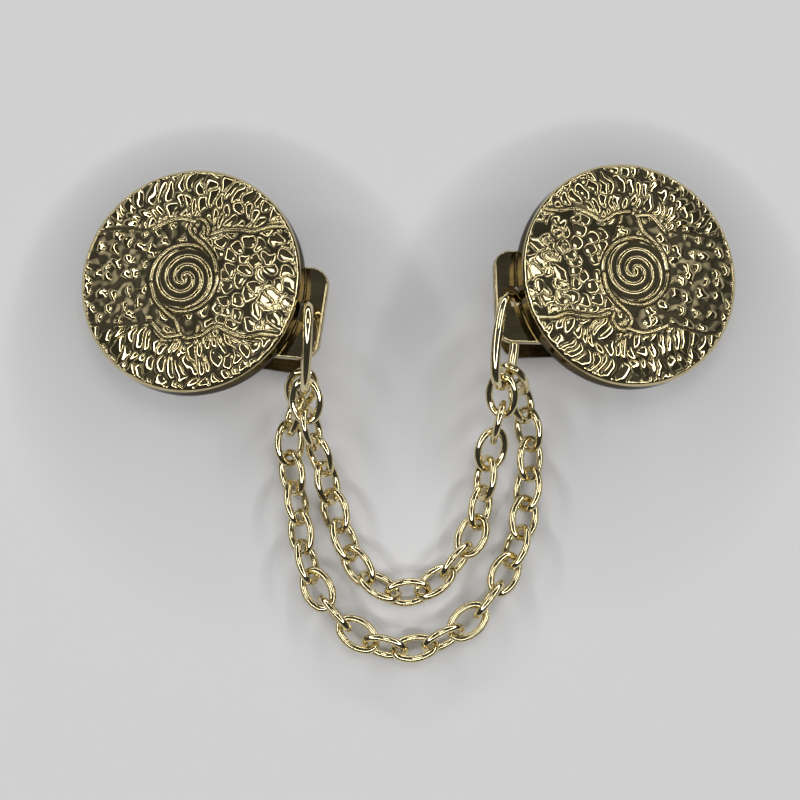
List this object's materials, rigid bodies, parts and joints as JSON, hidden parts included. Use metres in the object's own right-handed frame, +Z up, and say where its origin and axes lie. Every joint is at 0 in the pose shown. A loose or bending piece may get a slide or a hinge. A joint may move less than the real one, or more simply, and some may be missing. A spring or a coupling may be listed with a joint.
{
  "type": "cardigan clip",
  "caption": "Sprung clip pair with domed, relief-cast round discs, joined by strands of oval cable chain, to hold a cardigan closed.",
  "frame": {"origin": "on the surface that the clips lie on, under the middle of the whole thing", "axes": "+X from the left clip to the right one, +Y away from the chain, +Z up from the surface through the discs"},
  "size_m": [0.0726, 0.0547, 0.014],
  "materials": {
    "cast_gold": "polished cast relief, darker in the grooves",
    "gold_plate": "polished",
    "gold_wire": "polished",
    "pin_metal": "satin",
    "spring_wire": "satin"
  },
  "bodies": {
    "clip_pair": {"left_disc": "cast_gold", "left_upper_arm": "gold_plate", "left_hinge_pin": "pin_metal", "left_spring": "spring_wire", "left_jump_ring": "gold_wire", "right_disc": "cast_gold", "right_upper_arm": "gold_plate", "right_hinge_pin": "pin_metal", "right_spring": "spring_wire", "right_jump_ring": "gold_wire", "chain_long": "gold_wire", "chain_short": "gold_wire"},
    "left_jaw": {"left_lower_arm": "gold_plate"},
    "right_jaw": {"right_lower_arm": "gold_plate"}
  },
  "joints": [
    {"name": "left_jaw_hinge", "type": "hinge", "parent": "clip_pair", "child": "left_jaw", "pos_m": [-0.022, 0.0116, 0.00366], "axis": [-0.1426, -0.9898, 0], "range_deg": [0, 20], "stiffness_Nm_per_rad": 0.08, "deforming": ["left_spring"]},
    {"name": "right_jaw_hinge", "type": "hinge", "parent": "clip_pair", "child": "right_jaw", "pos_m": [0.0218, 0.0124, 0.00366], "axis": [-0.0314, 0.9995, 0], "range_deg": [0, 20], "stiffness_Nm_per_rad": 0.08, "deforming": ["right_spring"]}
  ]
}
